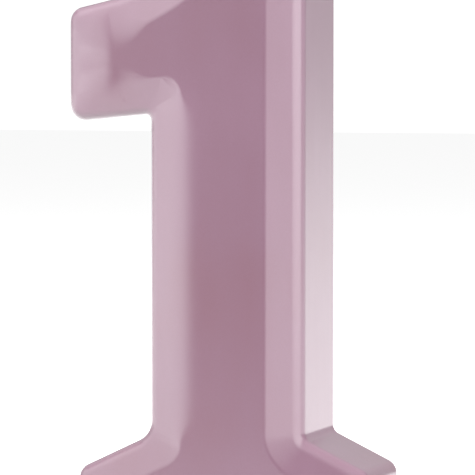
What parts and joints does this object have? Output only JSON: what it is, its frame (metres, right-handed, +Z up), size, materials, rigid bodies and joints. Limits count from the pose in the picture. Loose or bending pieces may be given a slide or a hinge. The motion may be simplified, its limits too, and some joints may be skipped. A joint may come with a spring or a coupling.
{
  "type": "number birthday candle",
  "caption": "Cake candle shaped as the numeral one, with a bevelled front, a sloping flag, a broad foot, a wick at the head and a push-in pick under the foot.",
  "frame": {"origin": "centre of the underside of the pick's plate, where the pick rests on the cake, on the spike's axis", "axes": "+Z up the candle towards the wick, -Y out of the numeral's bevelled front, +X to the right seen from the front"},
  "size_m": [0.0368, 0.014, 0.1082],
  "materials": {
    "pearl_wax": "paraffin wax under a glossy pearl mauve lacquer",
    "wick_cotton": "braided cotton, waxed",
    "pick_plastic": "white moulded polypropylene"
  },
  "bodies": {
    "pick": {"pick": "pick_plastic"},
    "candle": {"wax_numeral": "pearl_wax", "wick": "wick_cotton"}
  },
  "joints": [
    {"name": "candle_lift", "type": "slide", "parent": "pick", "child": "candle", "axis": [0, 0, 1], "range_m": [0, 0.011]}
  ]
}
